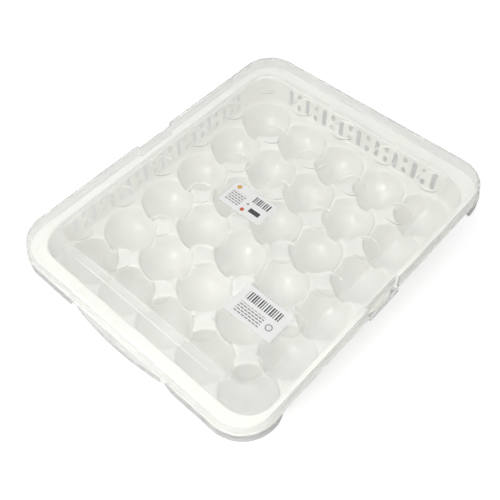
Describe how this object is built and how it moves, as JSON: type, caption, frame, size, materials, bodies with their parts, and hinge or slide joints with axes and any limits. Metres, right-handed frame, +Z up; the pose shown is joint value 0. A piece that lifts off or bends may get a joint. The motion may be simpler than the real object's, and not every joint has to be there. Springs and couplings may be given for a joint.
{
  "type": "egg storage container",
  "caption": "Rectangular storage box for eggs: white moulded tray of round egg cups with vented side walls, under a clear stackable lift-off lid.",
  "frame": {"origin": "on the ground under the middle of the box", "axes": "+X along the long side, +Y along the short side, +Z up"},
  "size_m": [0.3344, 0.2682, 0.0749],
  "materials": {
    "tray": "satin, slightly translucent",
    "lid": "clear, glossy",
    "sticker": "printed label film"
  },
  "bodies": {
    "tray": {"egg_cup_row1_1": "tray", "egg_cup_row1_2": "tray", "egg_cup_row1_3": "tray", "egg_cup_row1_4": "tray", "egg_cup_row1_5": "tray", "egg_cup_row1_6": "tray", "egg_cup_row2_1": "tray", "egg_cup_row2_2": "tray", "egg_cup_row2_3": "tray", "egg_cup_row2_4": "tray", "egg_cup_row2_5": "tray", "egg_cup_row2_6": "tray", "egg_cup_row3_1": "tray", "egg_cup_row3_2": "tray", "egg_cup_row3_3": "tray", "egg_cup_row3_4": "tray", "egg_cup_row3_5": "tray", "egg_cup_row3_6": "tray", "egg_cup_row4_1": "tray", "egg_cup_row4_2": "tray", "egg_cup_row4_3": "tray", "egg_cup_row4_4": "tray", "egg_cup_row4_5": "tray", "egg_cup_row4_6": "tray", "egg_cup_row5_1": "tray", "egg_cup_row5_2": "tray", "egg_cup_row5_3": "tray", "egg_cup_row5_4": "tray", "egg_cup_row5_5": "tray", "egg_cup_row5_6": "tray", "tray_side_front": "tray", "tray_side_back": "tray", "tray_end_left": "tray", "tray_end_right": "tray", "tray_corner_front_left": "tray", "tray_corner_front_right": "tray", "tray_corner_back_left": "tray", "tray_corner_back_right": "tray"},
    "lid": {"lid_top": "lid", "lid_side_front": "lid", "lid_side_back": "lid", "lid_end_left": "lid", "lid_end_right": "lid", "lid_corner_front_left": "lid", "lid_corner_front_right": "lid", "lid_corner_back_left": "lid", "lid_corner_back_right": "lid", "sticker_centre": "sticker", "sticker_corner": "sticker"}
  },
  "joints": [
    {"name": "lid_lift", "type": "slide", "parent": "tray", "child": "lid", "axis": [0, 0, 1], "range_m": [0, 0.1]}
  ]
}
